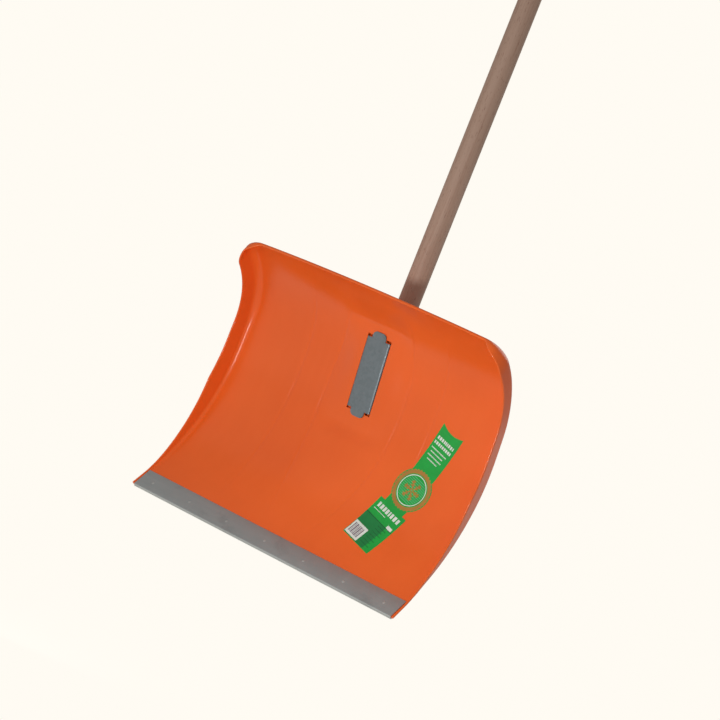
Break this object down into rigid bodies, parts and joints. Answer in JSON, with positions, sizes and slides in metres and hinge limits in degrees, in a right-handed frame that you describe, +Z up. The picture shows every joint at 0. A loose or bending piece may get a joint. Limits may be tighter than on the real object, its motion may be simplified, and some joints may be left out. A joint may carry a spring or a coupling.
{
  "type": "snow shovel",
  "caption": "Snow shovel: a curved plastic scoop blade with a metal wear edge, clamped to a long round wooden handle.",
  "frame": {"origin": "centre of the flat top end of the handle, on the handle's axis", "axes": "+Z up along the handle, away from the blade; +X to the right of someone who looks into the scoop; the scoop opens towards -Y"},
  "size_m": [0.5562, 0.1639, 1.5047],
  "materials": {
    "blade_plastic": "satin moulded polypropylene",
    "edge_metal": "dull mill finish with light smudges",
    "rivet_metal": "dull, set heads",
    "handle_wood": "bare sanded beech",
    "bracket_steel": "galvanised",
    "bolt_steel": "bright zinc plated",
    "label_foil": "printed foil sticker"
  },
  "bodies": {
    "root": {"blade": "blade_plastic", "wear_edge": "edge_metal", "edge_rivet_1": "rivet_metal", "edge_rivet_2": "rivet_metal", "edge_rivet_3": "rivet_metal", "edge_rivet_4": "rivet_metal", "edge_rivet_5": "rivet_metal", "edge_rivet_6": "rivet_metal", "edge_rivet_7": "rivet_metal", "handle": "handle_wood", "clamp_bracket": "bracket_steel", "clamp_bolt_1": "bolt_steel", "clamp_bolt_2": "bolt_steel", "clamp_nut_1": "bolt_steel", "clamp_nut_2": "bolt_steel", "head_washer_1": "bolt_steel", "head_washer_2": "bolt_steel", "nut_washer_1": "bolt_steel", "nut_washer_2": "bolt_steel", "front_label": "label_foil"}
  },
  "joints": []
}
